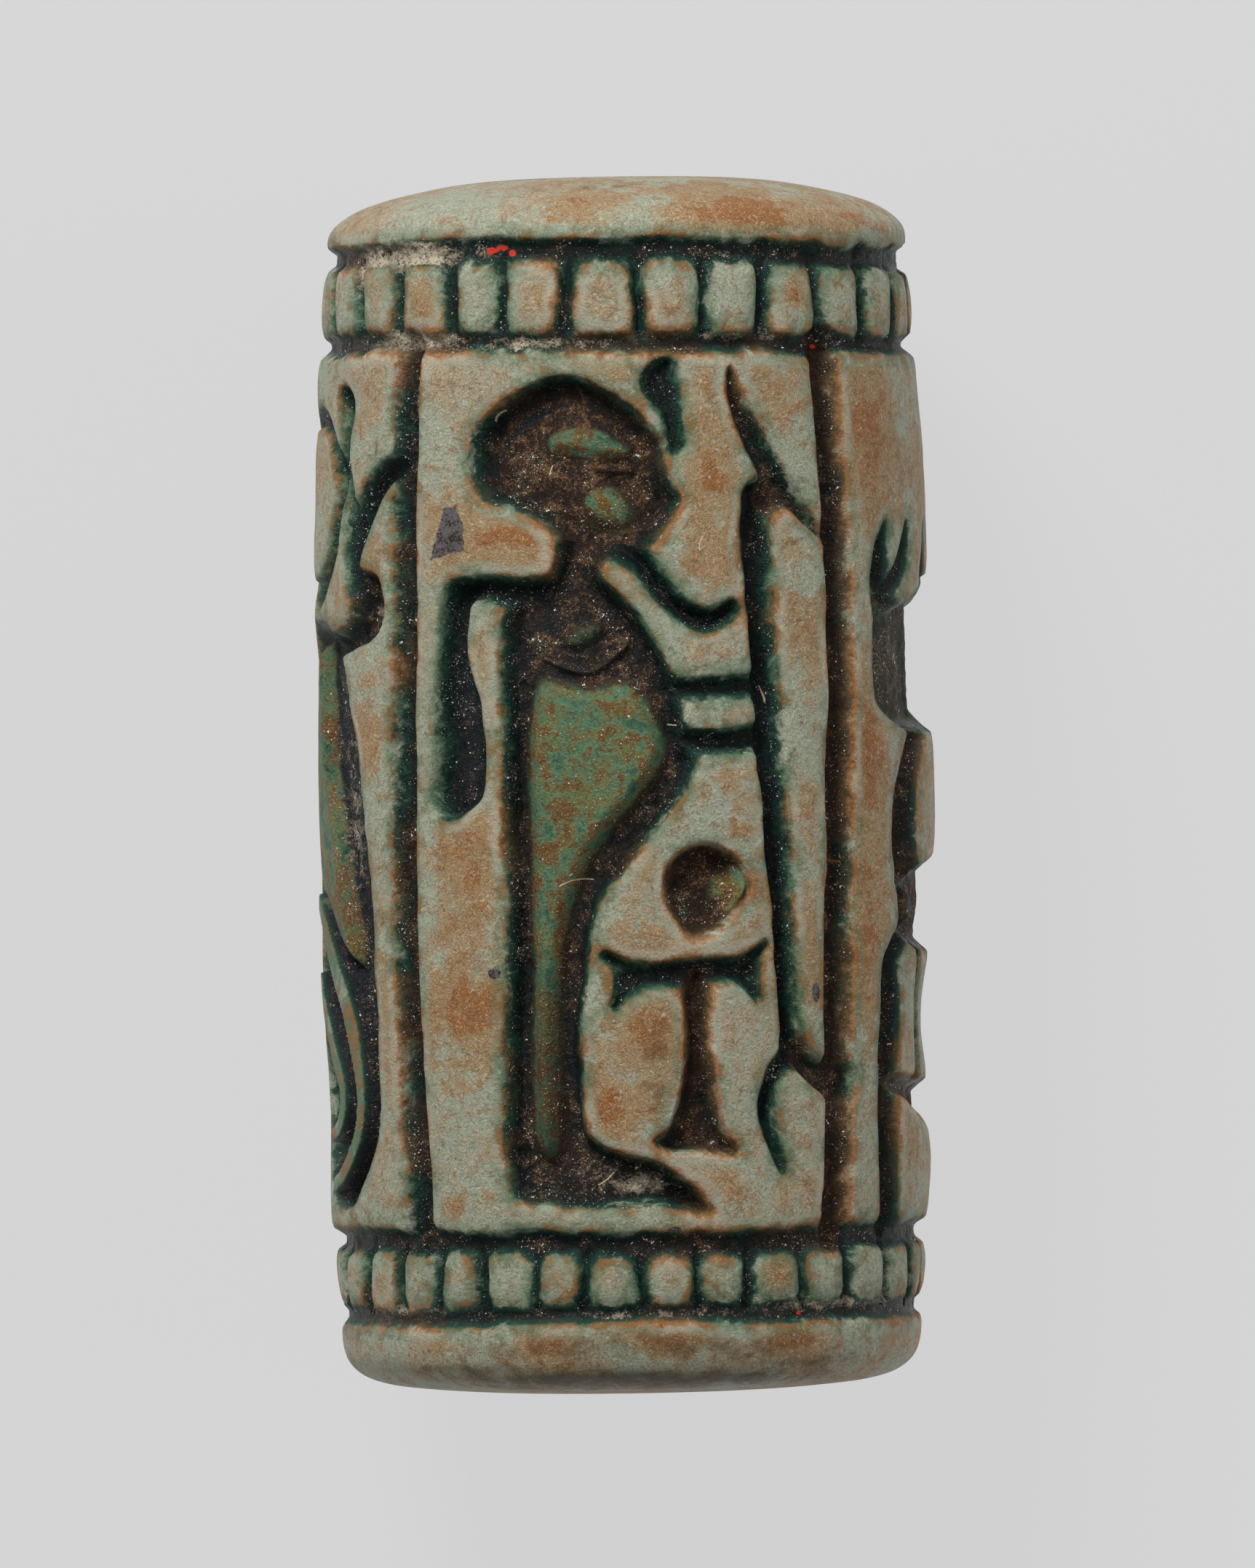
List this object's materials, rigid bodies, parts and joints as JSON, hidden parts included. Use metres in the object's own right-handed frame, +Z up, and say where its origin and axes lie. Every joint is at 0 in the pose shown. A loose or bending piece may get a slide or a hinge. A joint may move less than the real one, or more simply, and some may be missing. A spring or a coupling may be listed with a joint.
{
  "type": "cylinder seal",
  "caption": "Small barrel-shaped glazed stone seal, pierced lengthwise for a cord and carved all round in sunk relief; rolled over clay to print its panels.",
  "frame": {"origin": "middle of the underside, on the surface that the seal lies on", "axes": "+Z up, through the front panel; +Y along the seal's axis towards the figures' heads; +X to the right of the front panel"},
  "size_m": [0.0108, 0.021, 0.0106],
  "materials": {
    "glazed_stone": "satin"
  },
  "bodies": {
    "root": {"seal": "glazed_stone"}
  },
  "joints": []
}
